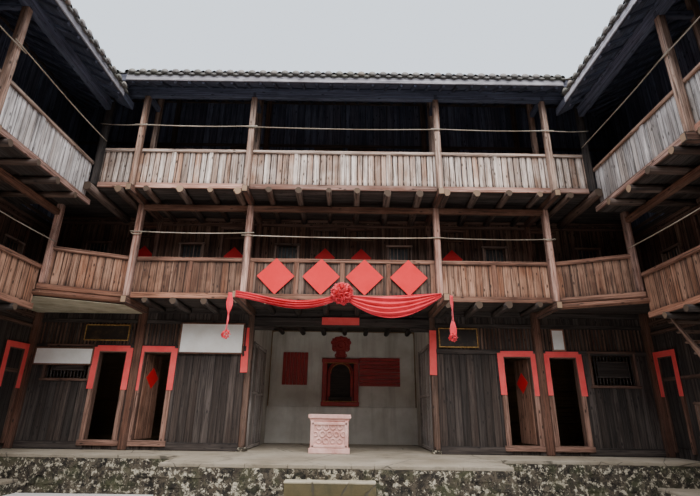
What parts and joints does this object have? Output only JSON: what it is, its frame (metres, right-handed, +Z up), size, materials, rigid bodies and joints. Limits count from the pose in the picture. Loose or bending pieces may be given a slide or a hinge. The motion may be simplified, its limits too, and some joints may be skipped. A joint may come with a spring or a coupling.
{
  "type": "square earth and timber courtyard house",
  "caption": "Fortified courtyard house: thick rammed-earth walls, tiled roofs, and timber galleries on each upper storey around a square court, with a raised hall at the back.",
  "frame": {"origin": "on the ground at the middle of the square plan", "axes": "+Z up, +Y from the court towards the raised hall, +X to the right when facing the hall"},
  "size_m": [27.5, 27.5, 11.6725],
  "materials": {
    "rammed_earth": "rough, layered",
    "field_stone": "rough, mortared",
    "dark_timber": "smoked, unpainted",
    "warm_timber": "weathered, unpainted",
    "silvered_timber": "sun-bleached, unpainted",
    "roof_tiles": "fired grey clay",
    "lime_plaster": "limewashed",
    "red_lacquer": "painted red",
    "red_cloth": "soft woven cloth",
    "carved_stone": "carved, matt"
  },
  "bodies": {
    "house": {"cloth_festoon": "red_cloth", "gate_earth_wall": "rammed_earth", "gate_wing_paved_floor": "field_stone", "gate_wing_roof": "dark_timber", "gate_wing_roof_tiles": "roof_tiles", "gate_wing_room_front": "dark_timber", "gate_wing_second_floor": "dark_timber", "gate_wing_second_gallery": "warm_timber", "gate_wing_third_floor": "dark_timber", "gate_wing_third_gallery": "silvered_timber", "hall_earth_wall": "rammed_earth", "hall_left_wall": "lime_plaster", "hall_plinth": "field_stone", "hall_portal": "dark_timber", "hall_right_wall": "lime_plaster", "hall_wing_left_door_head": "dark_timber", "hall_wing_left_door_sill": "dark_timber", "hall_wing_left_inner_front": "dark_timber", "hall_wing_left_outer_front": "dark_timber", "hall_wing_right_door_head": "dark_timber", "hall_wing_right_door_sill": "dark_timber", "hall_wing_right_inner_front": "dark_timber", "hall_wing_right_outer_front": "dark_timber", "hall_wing_roof": "dark_timber", "hall_wing_roof_tiles": "roof_tiles", "hall_wing_second_floor": "dark_timber", "hall_wing_second_gallery": "warm_timber", "hall_wing_third_floor": "dark_timber", "hall_wing_third_gallery": "silvered_timber", "hall_wing_upper_room_front": "dark_timber", "left_earth_wall": "rammed_earth", "left_stair": "silvered_timber", "left_wing_paved_floor": "field_stone", "left_wing_roof": "dark_timber", "left_wing_roof_tiles": "roof_tiles", "left_wing_room_front": "dark_timber", "left_wing_second_balustrade": "warm_timber", "left_wing_second_floor": "dark_timber", "left_wing_second_posts": "warm_timber", "left_wing_third_floor": "dark_timber", "left_wing_third_gallery": "silvered_timber", "right_earth_wall": "rammed_earth", "right_stair": "silvered_timber", "right_wing_paved_floor": "field_stone", "right_wing_roof": "dark_timber", "right_wing_roof_tiles": "roof_tiles", "right_wing_room_front": "dark_timber", "right_wing_second_balustrade": "warm_timber", "right_wing_second_floor": "dark_timber", "right_wing_second_posts": "warm_timber", "right_wing_third_floor": "dark_timber", "right_wing_third_gallery": "silvered_timber", "shrine": "red_lacquer", "stone_altar": "carved_stone"},
    "left_door": {"left_door_leaf": "silvered_timber"},
    "right_door": {"right_door_leaf": "silvered_timber"}
  },
  "joints": [
    {"name": "left_door_swing", "type": "hinge", "parent": "house", "child": "left_door", "pos_m": [-4.775, 7.78, 0.9], "axis": [0, 0, 1], "range_deg": [-78, 12]},
    {"name": "right_door_swing", "type": "hinge", "parent": "house", "child": "right_door", "pos_m": [4.595, 7.78, 0.9], "axis": [0, 0, 1], "range_deg": [-12, 78]}
  ]
}
